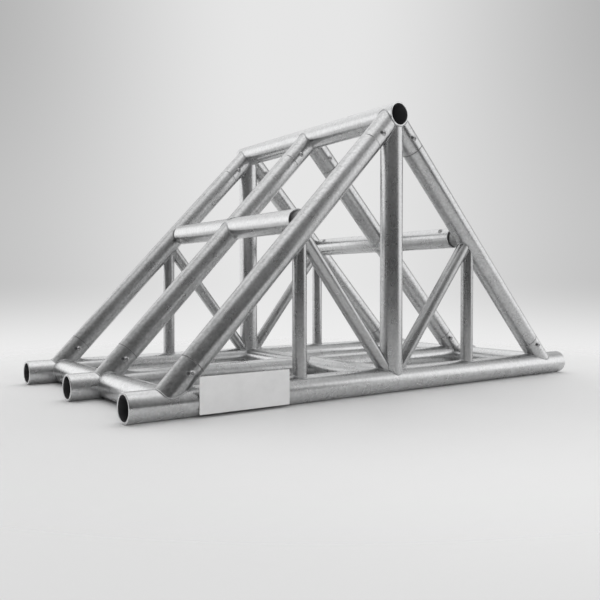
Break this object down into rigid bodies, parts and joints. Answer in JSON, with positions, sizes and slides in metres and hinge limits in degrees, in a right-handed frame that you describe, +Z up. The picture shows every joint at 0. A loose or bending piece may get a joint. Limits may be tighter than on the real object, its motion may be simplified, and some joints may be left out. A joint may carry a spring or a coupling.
{
  "type": "roof truss",
  "caption": "Tubular steel roof truss: parallel gable frames with coped joints, joined by a ridge tube, purlins and cross tubes, to carry a pitched roof.",
  "frame": {"origin": "on the floor under the middle of the truss, half way along the chords and in the plane of the middle frame", "axes": "+X along the bottom chords, +Y along the ridge from the front frame to the back frame, +Z up"},
  "size_m": [2.55, 1.334, 1.303],
  "materials": {
    "chord_steel": "satin",
    "rafter_steel": "satin",
    "web_steel": "satin",
    "inner_steel": "machined"
  },
  "bodies": {
    "root": {"back_bottom_chord": "chord_steel", "back_king_post": "rafter_steel", "back_left_diagonal": "web_steel", "back_left_foot_socket": "rafter_steel", "back_left_post": "web_steel", "back_left_purlin_peg": "inner_steel", "back_left_rafter": "rafter_steel", "back_left_ridge_socket": "rafter_steel", "back_right_diagonal": "web_steel", "back_right_foot_socket": "rafter_steel", "back_right_post": "web_steel", "back_right_purlin_peg": "inner_steel", "back_right_rafter": "rafter_steel", "back_right_ridge_socket": "rafter_steel", "front_bottom_chord": "chord_steel", "front_king_post": "rafter_steel", "front_left_diagonal": "web_steel", "front_left_foot_socket": "rafter_steel", "front_left_post": "web_steel", "front_left_purlin_peg": "inner_steel", "front_left_rafter": "rafter_steel", "front_left_ridge_socket": "rafter_steel", "front_right_diagonal": "web_steel", "front_right_foot_socket": "rafter_steel", "front_right_post": "web_steel", "front_right_purlin_peg": "inner_steel", "front_right_rafter": "rafter_steel", "front_right_ridge_socket": "rafter_steel", "left_back_cross_tube": "chord_steel", "left_front_cross_tube": "chord_steel", "left_purlin": "rafter_steel", "middle_back_cross_tube": "chord_steel", "middle_bottom_chord": "chord_steel", "middle_front_cross_tube": "chord_steel", "middle_left_foot_socket": "rafter_steel", "middle_left_lower_rafter": "rafter_steel", "middle_left_ridge_socket": "rafter_steel", "middle_left_upper_rafter": "rafter_steel", "middle_right_foot_socket": "rafter_steel", "middle_right_lower_rafter": "rafter_steel", "middle_right_ridge_socket": "rafter_steel", "middle_right_upper_rafter": "rafter_steel", "ridge_tube": "chord_steel", "right_back_cross_tube": "chord_steel", "right_front_cross_tube": "chord_steel", "right_purlin": "rafter_steel"}
  },
  "joints": []
}
